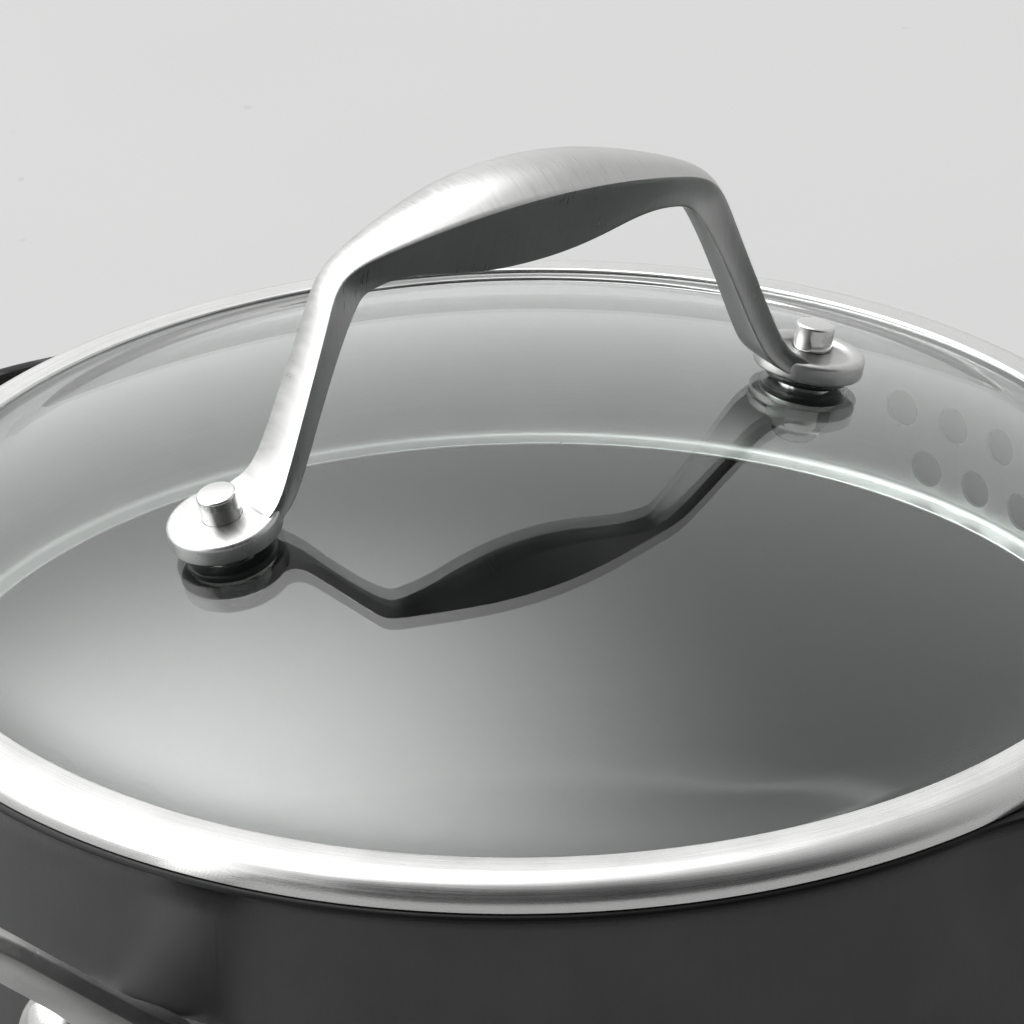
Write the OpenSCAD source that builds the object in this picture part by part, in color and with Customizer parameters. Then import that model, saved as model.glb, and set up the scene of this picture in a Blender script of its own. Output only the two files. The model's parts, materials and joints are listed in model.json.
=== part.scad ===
// Straining saucepan with a domed glass lid.
// Millimetres, +Z up. The origin is the centre of the pan's base on the
// surface it stands on. The long handle points along +X and the two pouring
// spouts point along +Y and -Y.

/* [Pan] */
// Outside diameter of the pan's straight wall
pan_d = 205.2; // [180:0.1:260]
// Thickness of the pan's wall
pan_wall = 3.2; // [2:0.1:5]
// Height of the lip above the table
pan_h = 98; // [80:1:140]
// Thickness of the pan's base
base_t = 4.5; // [3:0.1:8]
// Outside radius where the wall meets the base
corner_r = 14; // [8:0.5:24]
// How far the lip flares outwards beyond the wall
lip_flare = 2.2; // [1.6:0.1:4]
// Height of the flare below the lip
flare_h = 7; // [4:0.5:12]
// Radius of each pouring spout, seen from above
spout_r = 38; // [24:1:48]
// How far each spout's lip reaches beyond the wall
spout_reach = 12.4; // [6:0.2:18]
// Lean of each spout from the vertical, degrees
spout_lean = 22; // [15:1:32]

/* [Long handle] */
// Reach of the handle's tip beyond the pan's wall
handle_reach = 190; // [140:1:240]
// Slope of the handle's neck, degrees
neck_slope = 43; // [20:1:45]
// Rise of the neck's middle above the flange's middle
neck_rise = 10; // [4:1:12]
// Length of the straight part of the neck
neck_run = 60; // [40:1:80]
// Radius of the bend from the neck to the level grip
bend_r = 80; // [50:1:120]
// Thickness of the handle
handle_t = 6; // [4:0.5:10]
// Width of the neck
neck_w = 18; // [12:1:24]
// Greatest width of the grip
grip_w = 28; // [20:1:36]
// Width of the rounded tip
tip_w = 19; // [16:1:26]
// Diameter of the hanging hole
hang_d = 9; // [6:0.5:11]
// Width of the flange beyond the rivets' heads
flange_edge = 3.5; // [2:0.5:8]
// Height of the riveted flange
flange_h = 30; // [26:1:38]
// Thickness of the riveted flange
flange_t = 3.2; // [2.5:0.1:5]

/* [Handle rivets] */
// Diameter of a rivet's shank
rivet_d = 6; // [4:0.5:7]
// Diameter of a rivet's head
rivet_head_d = 11; // [8:0.5:12]
// Height of a rivet's head
rivet_head_h = 2; // [1.5:0.1:3]
// Clearance of the heads from the handle's neck and from the lid's skirt
rivet_clear = 1.5; // [0.6:0.1:4]
// Height between the upper rivets and the lower one
rivet_drop = 14; // [12:0.5:20]

/* [Lid] */
// How far the lid's steel ring stays inside the pan's lip
ring_inset = 0.6; // [0.2:0.1:0.8]
// Width of the ring from its outside to its inner edge on the glass
ring_w = 7.6; // [7:0.1:10]
// Radius of the ring's round shoulder
shoulder_r = 4.6; // [3:0.1:4.8]
// Gap between the ring and the glass's flat rim
ring_gap = 0.1; // [0.1:0.05:0.6]
// Thickness of the ring's and skirt's steel sheet
sheet_t = 0.6; // [0.5:0.1:1]
// Thickness of the glass
glass_t = 2.8; // [2.6:0.1:3.4]
// Width of the glass's flat rim inside the ring
rim_flat = 1.2; // [0.6:0.1:8]
// How far the glass's edge reaches under the ring
rim_tuck = 2.9; // [1.2:0.1:2.9]
// Rise of the dome above the flat rim
dome_rise = 19.7; // [12:0.1:26]
// Thickness of the silicone seal above and below the glass
seal_t = 0.4; // [0.4:0.1:0.7]
// Turn of the lid in the pan: the angle of its handle from the long handle
lid_turn = -27; // [-180:1:180]

/* [Strainer skirt] */
// Depth of the skirt below the ring's top
skirt_depth = 32.1; // [24:0.1:40]
// Gap between the skirt and the inside of the pan
skirt_gap = 1.2; // [0.6:0.1:2]
// Width of the hem turned inwards along the skirt's lower edge
hem_w = 4; // [1:0.1:4]
// Diameter of a straining hole
hole_d = 6.3; // [3:0.1:7]
// Angle between neighbouring holes of a row, degrees
hole_pitch = 6.35; // [5:0.05:10]
// Holes in the upper row of each group; the lower row has one less
hole_count = 7; // [3:1:9]
// Depth of the upper row below the ring's top
upper_row = 16.7; // [14:0.1:20]
// Height between the two rows
row_gap = 9.5; // [7:0.1:11]

/* [Lid handle] */
// Distance of each foot's stud from the lid's centre
foot_r = 51.5; // [44:0.5:60]
// Radius of each round foot
pad_r = 8.7; // [7:0.1:10]
// Thickness of each round foot
pad_t = 3.3; // [2:0.1:4]
// Rise of the grip's top above the ring's top
grip_top = 63.3; // [52:0.1:72]
// Depth of the grip in the middle
grip_depth = 16.7; // [10:0.1:20]
// Half length of the grip, corner to corner
grip_half = 33; // [28:0.5:40]
// Width of the grip in the middle
lid_grip_w = 16.6; // [12:0.1:22]
// Width of the grip at its corners
corner_w = 5.4; // [4:0.1:8]
// Width of a leg
leg_w = 7; // [4:0.1:8]
// Thickness of a leg
leg_t = 4.2; // [2.4:0.1:5]
// Width of a leg's flared foot
foot_w = 9.4; // [7:0.1:12]

/* [Lid handle fasteners] */
// Diameter of a stud
stud_d = 6.2; // [5:0.1:7]
// Height that a stud stands above its foot
stud_rise = 4.1; // [2:0.1:6]
// Diameter of the clear washer under a foot
washer_d = 13.2; // [11:0.1:16]
// Thickness of the clear washer under a foot
washer_t = 1.7; // [1.5:0.1:4]
// Wall of the silicone bush between the stud and the glass
bush_wall = 1.4; // [0.8:0.1:2]
// Diameter of the silicone washer below the glass
under_d = 14; // [12:0.1:18]
// Thickness of the silicone washer below the glass
under_t = 1.2; // [0.8:0.1:2]
// Diameter of the steel washer below the glass
backing_d = 13; // [11:0.1:17]
// Thickness of the steel washer below the glass
backing_t = 1; // [0.8:0.1:2]
// Wall of the cap nut around the stud, at its corners
nut_wall = 1.9; // [1.6:0.1:3]
// Height of the cap nut
nut_h = 6.5; // [5:0.1:9]

/* [Hidden] */
$fn = 96;

// Gaps: a small one between fixed pieces, and a shaft's in its hole
fit = 0.05;
// Reach of a cutting tool past the face that it cuts
over = 1;

// Pan
pan_r = pan_d / 2;
bore_r = pan_r - pan_wall;
flare_r = (flare_h * flare_h + lip_flare * lip_flare) / (2 * lip_flare);
// A spout's cylinder touches its tip at lip height
spout_y = pan_r + spout_reach - spout_r / cos(spout_lean);

// Lid heights, all measured from the table
skirt_flange_z = pan_h + sheet_t;
seal_z = skirt_flange_z + sheet_t;
rim_z = seal_z + seal_t;
rim_top = rim_z + glass_t;
ridge_z = rim_top + ring_gap + sheet_t;
skirt_low = ridge_z - skirt_depth;
// Lid radii, all measured in from the pan's lip
ring_r = pan_r + lip_flare - ring_inset;
ridge_r = ring_r - ring_w;
dome_r = ridge_r - rim_flat;
rim_r = ridge_r + rim_tuck;
// The dome is a sphere through its rim and its crown
sphere_r = (dome_r * dome_r + dome_rise * dome_rise) / (2 * dome_rise);
sphere_z = rim_top + dome_rise - sphere_r;
ring_in = ring_r - sheet_t;
skirt_r = bore_r - skirt_gap;
shoulder = [ring_r - shoulder_r, ridge_z - shoulder_r];

glass_hole_d = stud_d + 2 * bush_wall;
nut_d = stud_d + 2 * nut_wall;
// Feet stand square on the glass
foot_tilt = asin(foot_r / sphere_r);
pad_z = washer_t;
bush_gap = 0.1;
// Flat washers below the glass clear its hollow underside
under_gap = under_d * under_d / 4 / (2 * (sphere_r - glass_t)) + 0.02;
under_z = -glass_t - under_gap - under_t;
backing_z = under_z - backing_t;
nut_z = backing_z - nut_h;
nut_bore = nut_h - 1.5;
stud_bottom = backing_z - nut_bore + 0.5;
stud_top = pad_z + pad_t + stud_rise;

// Arcs of the lid handle's grip, seen from above and from the side
plan_arc = (pow(grip_half, 2) + pow((lid_grip_w - corner_w) / 2, 2)) / (lid_grip_w - corner_w);
grip_end_z = grip_top - grip_depth / 2 + 0.35;
top_arc = arc_radius(grip_half, grip_top - grip_end_z);
under_arc = arc_radius(grip_half, grip_depth - grip_top + grip_end_z);

function arc_radius(half, rise) = (half * half + rise * rise) / (2 * rise);

// ---------------------------------------------------------------- pan

// Half section of the pan's outside or inside: straight wall, rounded foot, flared lip
module pan_section(r, floor_z, round_r, top_z) {
    difference() {
        union() {
            translate([0, floor_z]) square([r - round_r, top_z - floor_z]);
            translate([0, floor_z + round_r]) square([r, top_z - floor_z - round_r]);
            translate([r - round_r, floor_z + round_r]) circle(round_r);
            translate([0, pan_h - flare_h]) square([r + lip_flare, top_z - pan_h + flare_h]);
        }
        translate([r + flare_r, pan_h - flare_h]) circle(flare_r);
    }
}

// Both leaning cylinders that push the wall out into spouts
module spout_pair(r, top_z) {
    for (side = [0, 180])
        rotate([0, 0, side]) intersection() {
            translate([0, spout_y, pan_h]) rotate([-spout_lean, 0, 0])
                cylinder(r = r, h = 160, center = true);
            translate([-pan_r, 0, corner_r + base_t])
                cube([2 * pan_r, 2 * pan_r, top_z - corner_r - base_t]);
        }
}

module pan_body() {
    color("dimgray") difference() {
        union() {
            rotate_extrude($fn = 180) intersection() {
                pan_section(pan_r, 0, corner_r, pan_h);
                square([2 * pan_r, pan_h]);
            }
            spout_pair(spout_r, pan_h);
        }
        rotate_extrude($fn = 180) intersection() {
            pan_section(bore_r, base_t, corner_r - pan_wall, pan_h + over);
            square([2 * pan_r, pan_h + over]);
        }
        spout_pair(spout_r - pan_wall, pan_h + over);
        rivet_places() rivet_hole();
    }
}

// ------------------------------------------------------- long handle

// The upper rivets stand beside the neck, and their heads stay below the lid's skirt
rivet_gap = neck_w + rivet_head_d + 2 * rivet_clear;
rivet_angle = asin(rivet_gap / 2 / pan_r);
rivet_upper_z = skirt_low - rivet_head_d / 2 - rivet_clear;
rivet_lower_z = rivet_upper_z - rivet_drop;
// The flange reaches a little further above the rivets than below them
flange_lift = 1;
flange_w = rivet_gap + rivet_head_d + 2 * flange_edge;
flange_z = (rivet_upper_z + rivet_lower_z) / 2 + flange_lift;
neck_z = flange_z + neck_rise;

// The handle's middle line, from the wall to the tip
bend_x = pan_r + neck_run * cos(neck_slope);
bend_z = neck_z + neck_run * sin(neck_slope);
level_x = bend_x + bend_r * sin(neck_slope);
level_z = bend_z + bend_r * (1 - cos(neck_slope));
tip_x = pan_r + handle_reach;
tip_c = tip_x - tip_w / 2;
// The neck starts inside the flange
neck_start = 6;
bend_steps = 12;

// Edge of the handle's side view, a distance off its middle line
function handle_edge(off) = concat(
    [[pan_r - neck_start * cos(neck_slope) - off * sin(neck_slope),
      neck_z - neck_start * sin(neck_slope) + off * cos(neck_slope)]],
    [for (i = [0 : bend_steps]) bend_point(neck_slope * (1 - i / bend_steps), bend_r + off)],
    [[tip_x + over, level_z + off]]);

// A point of the bend at an angle from level
function bend_point(a, r) = [level_x - r * sin(a), level_z - bend_r + r * cos(a)];

function backwards(line) = [for (i = [len(line) - 1 : -1 : 0]) line[i]];

module handle_side() {
    polygon(concat(handle_edge(handle_t / 2), backwards(handle_edge(-handle_t / 2))));
}

// Plan of the handle: a narrow neck, a leaf-shaped grip and a round tip
module handle_plan() {
    leaf_half = (tip_c - bend_x) / 2 + tip_w;
    leaf_arc = arc_radius(leaf_half, grip_w / 2);
    translate([pan_r - 2 * neck_start, -neck_w / 2])
        square([bend_x - pan_r + 2 * neck_start + 12, neck_w]);
    translate([(tip_c + bend_x) / 2, 0]) intersection() {
        translate([0, grip_w / 2 - leaf_arc]) circle(leaf_arc, $fn = 180);
        translate([0, leaf_arc - grip_w / 2]) circle(leaf_arc, $fn = 180);
        square([tip_c - bend_x, grip_w + 2], center = true);
    }
    translate([tip_c, 0]) circle(tip_w / 2);
}

module flange_plate() {
    end_r = flange_h / 2;
    intersection() {
        translate([0, 0, flange_z]) rotate([90, 0, 90]) linear_extrude(pan_d) {
            square([flange_w - flange_h, flange_h], center = true);
            for (side = [-1, 1]) translate([side * (flange_w - flange_h) / 2, 0]) circle(end_r);
        }
        translate([0, 0, flange_z - flange_h]) cylinder(r = pan_r + flange_t, h = 2 * flange_h, $fn = 180);
    }
}

module long_handle() {
    color("silver") difference() {
        union() {
            intersection() {
                rotate([90, 0, 0]) linear_extrude(grip_w + 2, center = true) handle_side();
                linear_extrude(2 * level_z) handle_plan();
            }
            flange_plate();
        }
        translate([0, 0, -over]) cylinder(r = pan_r + fit, h = 2 * pan_h, $fn = 180);
        rivet_places() rivet_hole();
        translate([tip_c, 0, 0]) cylinder(d = hang_d, h = 2 * level_z);
    }
}

// ----------------------------------------------------- handle rivets

// A head's flat back clears the curved wall inside the pan
head_back = sqrt(bore_r * bore_r - rivet_head_d * rivet_head_d / 4) - 0.02;

// Turns and lifts a radial piece to one of the three rivets
module rivet_place(which) {
    turn = [rivet_angle, -rivet_angle, 0][which];
    lift = [rivet_upper_z, rivet_upper_z, rivet_lower_z][which];
    translate([0, 0, lift]) rotate([0, 0, turn]) children();
}

module rivet_places() {
    for (which = [0, 1, 2]) rivet_place(which) children();
}

module rivet_hole() {
    rotate([0, 90, 0]) cylinder(d = rivet_d + 2 * fit, h = pan_d);
}

// A shallow dome on a flat back, pointing along +Z
module rivet_head() {
    head_arc = arc_radius(rivet_head_d / 2, rivet_head_h);
    intersection() {
        translate([0, 0, rivet_head_h - head_arc]) sphere(head_arc);
        cylinder(d = rivet_head_d, h = rivet_head_h);
    }
}

module rivet(which) {
    tail = pan_r + flange_t + 0.02;
    color("silver") rivet_place(which) {
        translate([head_back - over, 0, 0]) rotate([0, 90, 0])
            cylinder(d = rivet_d, h = tail - head_back + 2 * over);
        translate([head_back, 0, 0]) rotate([0, -90, 0]) rivet_head();
        translate([tail, 0, 0]) rotate([0, 90, 0]) rivet_head();
    }
}

// --------------------------------------------------------------- lid

module lid_place() {
    rotate([0, 0, lid_turn]) children();
}

// Stands a piece square on the glass at one foot; z = 0 is the glass's top
module foot_place(side) {
    lid_place() rotate([0, 0, side]) translate([0, 0, sphere_z])
        rotate([0, foot_tilt, 0]) translate([0, 0, sphere_r]) children();
}

module glass_dome() {
    color([0.7, 0.8, 0.78, 0.4]) difference() {
        rotate_extrude($fn = 180) {
            intersection() {
                translate([0, sphere_z]) difference() {
                    circle(sphere_r, $fn = 360);
                    circle(sphere_r - glass_t, $fn = 360);
                }
                translate([0, rim_z - over]) square([dome_r, dome_rise + glass_t + 2 * over]);
            }
            translate([dome_r - 2, rim_z]) square([rim_r - fit - dome_r + 2, glass_t]);
        }
        for (side = [0, 180]) foot_place(side)
            cylinder(d = glass_hole_d, h = 6 * glass_t, center = true);
    }
}

// Silicone channel around the glass's rim
module glass_seal() {
    inner = skirt_r - 0.3;
    outside = backwards(shoulder_arc(shoulder_r - sheet_t - fit, 30));
    color("gainsboro") rotate_extrude($fn = 180) polygon(concat(
        [[inner, seal_z], [outside[0][0], seal_z]], outside,
        [[rim_r, rim_top], [rim_r, rim_z], [inner, rim_z]]));
}

// Points along the ring's round shoulder, from straight up down to an angle above level
function shoulder_arc(r, low) = [for (a = [90 : -15 : low]) shoulder + r * [cos(a), sin(a)]];

// Section of the ring: a folded channel with an edge on the glass and a round shoulder
module lid_ring() {
    fold_r = sheet_t / 2;
    foot_in = skirt_r + fit;
    color("silver") rotate_extrude($fn = 180) polygon(concat(
        [[ridge_r, ridge_z - sheet_t], [ridge_r, ridge_z - fold_r], [ridge_r + fold_r, ridge_z]],
        shoulder_arc(shoulder_r, 15),
        [[ring_r, pan_h + fold_r], [ring_r - fold_r, pan_h], [foot_in, pan_h],
         [foot_in, skirt_flange_z], [ring_in, skirt_flange_z]],
        backwards(shoulder_arc(shoulder_r - sheet_t, 15))));
}

// Perforated band that hangs inside the pan, with a flange clamped in the ring
module strainer_skirt() {
    skirt_in = skirt_r - sheet_t;
    flange_out = ring_in - 0.2;
    rows = [[ridge_z - upper_row, hole_count], [ridge_z - upper_row - row_gap, hole_count - 1]];
    color("lightgray") difference() {
        rotate_extrude($fn = 180) polygon([
            [skirt_r, skirt_low], [skirt_r, skirt_flange_z + fit],
            [flange_out, skirt_flange_z + fit], [flange_out, seal_z - fit],
            [skirt_in, seal_z - fit], [skirt_in, skirt_low + sheet_t],
            [skirt_r - hem_w, skirt_low + sheet_t], [skirt_r - hem_w, skirt_low]]);
        for (side = [0, 180], row = rows, i = [0 : row[1] - 1])
            lid_place() rotate([0, 0, side + (i - (row[1] - 1) / 2) * hole_pitch])
                translate([skirt_in - over, 0, row[0]]) rotate([0, 90, 0])
                    cylinder(d = hole_d, h = sheet_t + 2 * over, $fn = 48);
    }
}

// --------------------------------------------------------- lid handle

// Middle line of a leg from the grip's corner down to its foot, in the handle's own plane
foot_top = [sphere_r * sin(foot_tilt), sphere_z + sphere_r * cos(foot_tilt)]
    + (pad_z + pad_t) * [sin(foot_tilt), cos(foot_tilt)];
corner_z = ridge_z + grip_end_z;
leg_line = [[grip_half - 1, corner_z + 0.4], [grip_half + 1.4, corner_z - 3.2],
            [grip_half + 2.6, corner_z - 9.5],
            [foot_top[0] - 12.6, foot_top[1] + 14.5], [foot_top[0] - 9.4, foot_top[1] + 4.5],
            [foot_top[0] - 5, foot_top[1] - 0.6]];

// Leg outline: the middle line moved out on one side and back on the other
module leg_outline() {
    polygon(concat([for (p = leg_line) p + [leg_t / 2, 0.4]],
                   [for (i = [len(leg_line) - 1 : -1 : 0]) leg_line[i] - [leg_t / 2, 0.4]]));
}

module leg() {
    flare_z = foot_top[1] + 6;
    rotate([90, 0, 0]) linear_extrude(leg_w, center = true) leg_outline();
    intersection() {
        rotate([90, 0, 0]) linear_extrude(foot_w, center = true) leg_outline();
        translate([0, -foot_w, flare_z - 20]) cube([foot_r, 2 * foot_w, 20]);
    }
}

module lid_grip() {
    intersection() {
        linear_extrude(corner_z + grip_depth) intersection() {
            translate([0, lid_grip_w / 2 - plan_arc]) circle(plan_arc, $fn = 180);
            translate([0, plan_arc - lid_grip_w / 2]) circle(plan_arc, $fn = 180);
        }
        rotate([90, 0, 0]) linear_extrude(lid_grip_w, center = true) intersection() {
            translate([0, ridge_z + grip_top - top_arc]) circle(top_arc, $fn = 180);
            translate([0, ridge_z + grip_top - grip_depth + under_arc]) circle(under_arc, $fn = 180);
            translate([-grip_half, 0]) square([2 * grip_half, 2 * corner_z]);
        }
    }
}

module lid_handle() {
    color("silver") difference() {
        union() {
            lid_place() {
                lid_grip();
                for (side = [0, 180]) rotate([0, 0, side]) leg();
            }
            for (side = [0, 180]) foot_place(side)
                translate([0, 0, pad_z]) cylinder(r = pad_r, h = pad_t);
        }
        for (side = [0, 180]) foot_place(side) {
            cylinder(d = stud_d + 2 * fit, h = pad_z + pad_t + over);
            translate([0, 0, -over]) cylinder(r = 2 * pad_r, h = pad_z + over);
        }
    }
}

// ------------------------------------------------ lid handle fasteners

module stud(side) {
    color("silver") foot_place(side) translate([0, 0, stud_bottom])
        cylinder(d = stud_d, h = stud_top - stud_bottom);
}

// A flat ring around the stud, from a height in the foot's own frame
module foot_ring(side, low, high, outer_d, inner_d) {
    foot_place(side) translate([0, 0, low]) difference() {
        cylinder(d = outer_d, h = high - low);
        translate([0, 0, -over]) cylinder(d = inner_d, h = high - low + 2 * over);
    }
}

module clear_washer(side) {
    color([0.8, 0.8, 0.8, 0.6])
        foot_ring(side, 0.02, pad_z - 0.02, washer_d, stud_d + 2 * fit);
}

module glass_bush(side) {
    color("whitesmoke") foot_ring(side, -glass_t + bush_gap, -bush_gap,
                                  glass_hole_d - 2 * fit, stud_d + 2 * fit);
}

module under_washer(side) {
    color("gainsboro") foot_ring(side, under_z, under_z + under_t, under_d, stud_d + 2 * fit);
}

module backing_washer(side) {
    color("silver") foot_ring(side, backing_z, backing_z + backing_t - 0.02,
                              backing_d, stud_d + 2 * fit);
}

// Hexagonal nut with a closed round end, facing down into the pan
module cap_nut(side) {
    hex_h = nut_h * 0.55;
    color("silver") foot_place(side) difference() {
        union() {
            translate([0, 0, backing_z - hex_h]) cylinder(d = nut_d, h = hex_h - 0.02, $fn = 6);
            translate([0, 0, nut_z]) cylinder(d = nut_d * 0.8, h = nut_h - 0.1);
        }
        translate([0, 0, backing_z - nut_bore]) cylinder(d = stud_d + 2 * fit, h = nut_bore + over);
    }
}

pan_body();
long_handle();
rivet(0);  // handle_rivet_left
rivet(1);  // handle_rivet_right
rivet(2);  // handle_rivet_lower
glass_dome();
glass_seal();
lid_ring();
strainer_skirt();
lid_handle();
stud(0);  // handle_stud_front
stud(180);  // handle_stud_back
clear_washer(0);  // clear_washer_front
clear_washer(180);  // clear_washer_back
glass_bush(0);  // glass_bush_front
glass_bush(180);  // glass_bush_back
under_washer(0);  // under_washer_front
under_washer(180);  // under_washer_back
backing_washer(0);  // backing_washer_front
backing_washer(180);  // backing_washer_back
cap_nut(0);  // cap_nut_front
cap_nut(180);  // cap_nut_back
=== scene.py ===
import json
from math import asin, atan2, cos, hypot, pi, radians, sin, sqrt, tan

import bmesh
import bpy
from mathutils import Matrix, Vector

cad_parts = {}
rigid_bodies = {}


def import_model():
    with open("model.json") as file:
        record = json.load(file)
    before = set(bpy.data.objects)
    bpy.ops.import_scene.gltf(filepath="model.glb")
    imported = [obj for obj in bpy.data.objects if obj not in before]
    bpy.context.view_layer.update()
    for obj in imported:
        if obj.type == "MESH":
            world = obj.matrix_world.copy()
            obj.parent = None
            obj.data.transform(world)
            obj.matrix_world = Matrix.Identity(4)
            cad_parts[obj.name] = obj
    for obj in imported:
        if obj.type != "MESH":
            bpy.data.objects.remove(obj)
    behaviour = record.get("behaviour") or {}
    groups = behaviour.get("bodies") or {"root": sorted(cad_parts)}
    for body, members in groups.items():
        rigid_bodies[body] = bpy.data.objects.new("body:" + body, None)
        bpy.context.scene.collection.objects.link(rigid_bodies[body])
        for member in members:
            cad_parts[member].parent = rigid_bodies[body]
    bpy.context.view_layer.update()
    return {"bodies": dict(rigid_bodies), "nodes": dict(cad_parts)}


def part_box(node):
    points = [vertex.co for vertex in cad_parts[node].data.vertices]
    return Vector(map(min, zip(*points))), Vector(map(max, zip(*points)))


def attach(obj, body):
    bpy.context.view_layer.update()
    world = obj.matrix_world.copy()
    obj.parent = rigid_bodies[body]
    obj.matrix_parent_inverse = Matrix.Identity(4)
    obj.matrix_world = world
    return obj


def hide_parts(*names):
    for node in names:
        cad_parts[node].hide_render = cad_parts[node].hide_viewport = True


# Straining saucepan with a domed glass lid. Everything is in metres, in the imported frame:
# the origin is the centre of the pan's base, the long handle points along +X and the two
# spouts along +Y and -Y. Lengths below are written in millimetres times MM.
MM = 0.001

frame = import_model()

# ------------------------------------------------------------------ sizes

# Heights and radii that the frame gives
LIP_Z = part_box("pan_body")[1].z
SPOUT_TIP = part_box("pan_body")[1].y
RIDGE_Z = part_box("lid_ring")[1].z
RING_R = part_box("lid_ring")[1].x
CROWN_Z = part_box("glass_dome")[1].z
GLASS_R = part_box("glass_dome")[1].x
RIM_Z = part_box("glass_dome")[0].z
SKIRT_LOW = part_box("strainer_skirt")[0].z
TIP_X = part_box("long_handle")[1].x
FLANGE_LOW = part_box("long_handle")[0].z
GRIP_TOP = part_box("lid_handle")[1].z

# The pan
WALL_R = 102.6 * MM
BORE_R = 99.4 * MM
BASE_T = 4.5 * MM
CORNER_R = 14 * MM
LIP_FLARE = 2.2 * MM
FLARE_H = 7 * MM
SPOUT_R = 38 * MM
SPOUT_LEAN = radians(22)
SPOUT_BLEND = 8 * MM

# The lid
SHEET_T = 0.6 * MM
GLASS_T = 2.8 * MM
DOME_R = 95.4 * MM
RING_IN = 96.6 * MM
SHOULDER_R = 4.6 * MM
SKIRT_R = 98.2 * MM
HEM_W = 4 * MM
RING_FALL = 0.6 * MM
HOLE_R = 3.15 * MM
HOLE_PITCH = radians(6.35)
UPPER_ROW = 16.7 * MM
ROW_GAP = 9.5 * MM
UPPER_HOLES = 7
LID_TURN = radians(-27)
RIM_TOP = RIM_Z + GLASS_T
DOME_RISE = CROWN_Z - RIM_TOP
SPHERE_R = (DOME_R**2 + DOME_RISE**2) / (2 * DOME_RISE)
SPHERE_Z = CROWN_Z - SPHERE_R

# The lid handle's feet
FOOT_R = 51.5 * MM
PAD_R = 8.7 * MM
PAD_T = 3.3 * MM
WASHER_T = 1.7 * MM
STUD_R = 3.1 * MM
STUD_TOP = 9.1 * MM
FOOT_TILT = asin(FOOT_R / SPHERE_R)

# The long handle
NECK_SLOPE = radians(43)
NECK_RUN = 60 * MM
BEND_R = 80 * MM
HANDLE_T = 6 * MM
GRIP_W = 28 * MM
TIP_W = 19 * MM
HANG_R = 4.5 * MM
FLANGE_T = 3.2 * MM
FLANGE_H = 30 * MM
FLANGE_EDGE = 3.5 * MM
NECK_RISE = 10 * MM
RIVET_R = 3 * MM
RIVET_HEAD_H = 2 * MM

CLEAR = 0.05 * MM

# ------------------------------------------------------------ mesh helpers


def piece(name, mesh, body, nodes, material, sharp=35):
    """Links a finished mesh as a piece that rides on a body and stands for CAD nodes."""
    obj = bpy.data.objects.new(name, mesh)
    bpy.context.scene.collection.objects.link(obj)
    smooth(mesh, sharp)
    mesh.materials.clear()
    mesh.materials.append(material)
    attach(obj, body)
    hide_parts(*nodes)
    return obj


def smooth(mesh, sharp):
    """Smooth shading, with edges sharper than an angle in degrees kept crisp."""
    mesh.polygons.foreach_set("use_smooth", [True] * len(mesh.polygons))
    mesh.set_sharp_from_angle(angle=radians(sharp))


def finish_mesh(bm, name):
    bmesh.ops.recalc_face_normals(bm, faces=bm.faces)
    mesh = bpy.data.meshes.new(name)
    bm.to_mesh(mesh)
    bm.free()
    return mesh


def rounded(corners, steps=6):
    """An outline with rounded corners, from (r, z, radius) corners of a closed outline."""
    outline = []
    for i, (r, z, radius) in enumerate(corners):
        here = Vector((r, z))
        if radius <= 0:
            outline.append(here)
            continue
        before = (Vector(corners[i - 1][:2]) - here)
        after = (Vector(corners[(i + 1) % len(corners)][:2]) - here)
        half = before.angle(after) / 2
        if half > radians(89.5):
            outline.append(here)
            continue
        reach = min(radius / tan(half), before.length * 0.9, after.length * 0.9)
        arc_r = reach * tan(half)
        centre = here + (before.normalized() + after.normalized()).normalized() * (arc_r / sin(half))
        start = here + before.normalized() * reach - centre
        turn = start.angle_signed(here + after.normalized() * reach - centre)
        for k in range(steps + 1):
            spin = Matrix.Rotation(-turn * k / steps, 2)
            outline.append(centre + spin @ start)
    return outline


def lathe(name, outline, segments, shape=None, closed=True):
    """Turns an outline of (r, z) points about Z. shape moves each point; r = 0 makes a pole."""
    bm = bmesh.new()
    rings = []
    for i, (r, z) in enumerate(outline):
        if r < 1e-7:
            rings.append([bm.verts.new((0, 0, z))])
            continue
        ring = []
        for k in range(segments):
            angle = 2 * pi * k / segments
            reach = shape(i, r, z, angle) if shape else r
            ring.append(bm.verts.new((reach * cos(angle), reach * sin(angle), z)))
        rings.append(ring)
    pairs = list(zip(rings, rings[1:]))
    if closed:
        pairs.append((rings[-1], rings[0]))
    for one, other in pairs:
        if len(one) == 1 and len(other) == 1:
            continue
        for k in range(segments):
            n = (k + 1) % segments
            if len(one) == 1:
                bm.faces.new((one[0], other[k], other[n]))
            elif len(other) == 1:
                bm.faces.new((one[k], one[n], other[0]))
            else:
                bm.faces.new((one[k], one[n], other[n], other[k]))
    return finish_mesh(bm, name)


def sweep(name, rings, creased=(), crease=0.8):
    """Skins a row of closed rings, with flat ends. creased holds the rows of points kept crisp."""
    bm = bmesh.new()
    layer = bm.edges.layers.float.new("crease_edge")
    rows = [[bm.verts.new(p) for p in ring] for ring in rings]
    count = len(rows[0])
    for one, other in zip(rows, rows[1:]):
        for k in range(count):
            n = (k + 1) % count
            bm.faces.new((one[k], one[n], other[n], other[k]))
    bm.faces.new(rows[0])
    bm.faces.new(rows[-1])
    for one, other in zip(rows, rows[1:]):
        for k in creased:
            bm.edges.get((one[k], other[k]))[layer] = crease
    return finish_mesh(bm, name)


def temp_object(mesh, place=Matrix.Identity(4)):
    obj = bpy.data.objects.new(mesh.name, mesh)
    bpy.context.scene.collection.objects.link(obj)
    obj.matrix_world = place
    return obj


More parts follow.
